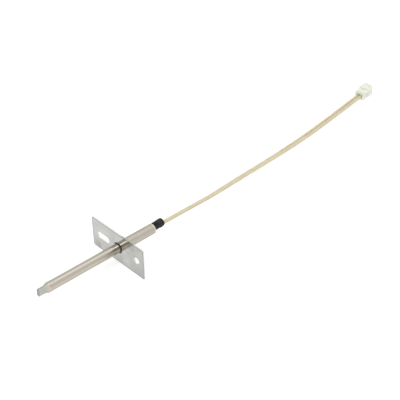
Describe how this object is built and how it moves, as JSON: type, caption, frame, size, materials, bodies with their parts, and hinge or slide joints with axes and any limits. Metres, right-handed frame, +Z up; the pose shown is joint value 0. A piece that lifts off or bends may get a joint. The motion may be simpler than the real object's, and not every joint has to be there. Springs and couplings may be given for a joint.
{
  "type": "flange-mounted temperature probe",
  "caption": "Metal-sheathed temperature probe with a pinched tip, a slotted mounting flange, a black heat-shrink sleeve and beige leads to a small ivory plug.",
  "frame": {"origin": "on the probe's axis, at the flange's rear face, where it seats", "axes": "+X along the probe towards its tip, +Y along the flange towards its round hole, +Z up; the part stands at z = -11.5 mm on the flange's lower edge and the plug"},
  "size_m": [0.3499, 0.0565, 0.023],
  "materials": {
    "sheath_steel": "satin drawn tube",
    "flange_steel": "polished stamped sheet with fine scratches",
    "braze": "dark oxidised",
    "seal": "matte silicone",
    "heat_shrink": "satin black",
    "ceramic": "unglazed white",
    "filling": "packed powder",
    "nickel_wire": "drawn wire",
    "plated_crimp": "tin plated",
    "lead_jacket": "varnished glass braid, beige",
    "plug_nylon": "natural ivory moulding"
  },
  "bodies": {
    "root": {"sheath_tube": "sheath_steel", "rear_sleeve": "sheath_steel", "mounting_flange": "flange_steel", "flange_braze_ring": "braze", "rear_plug": "seal", "heat_shrink_sleeve": "heat_shrink", "sensing_element": "ceramic", "tip_filling": "filling", "ceramic_insulator": "ceramic", "element_lead_a": "nickel_wire", "element_lead_b": "nickel_wire", "crimp_splice_a": "plated_crimp", "crimp_splice_b": "plated_crimp", "splice_sleeve_a": "lead_jacket", "splice_sleeve_b": "lead_jacket", "lead_wire_a_probe_end": "lead_jacket", "lead_wire_b_probe_end": "lead_jacket", "lead_wire_a": "lead_jacket", "lead_wire_b": "lead_jacket", "lead_wire_a_plug_end": "lead_jacket", "lead_wire_b_plug_end": "lead_jacket", "contact_terminal_a": "plated_crimp", "contact_terminal_b": "plated_crimp", "connector_housing": "plug_nylon"}
  },
  "joints": []
}
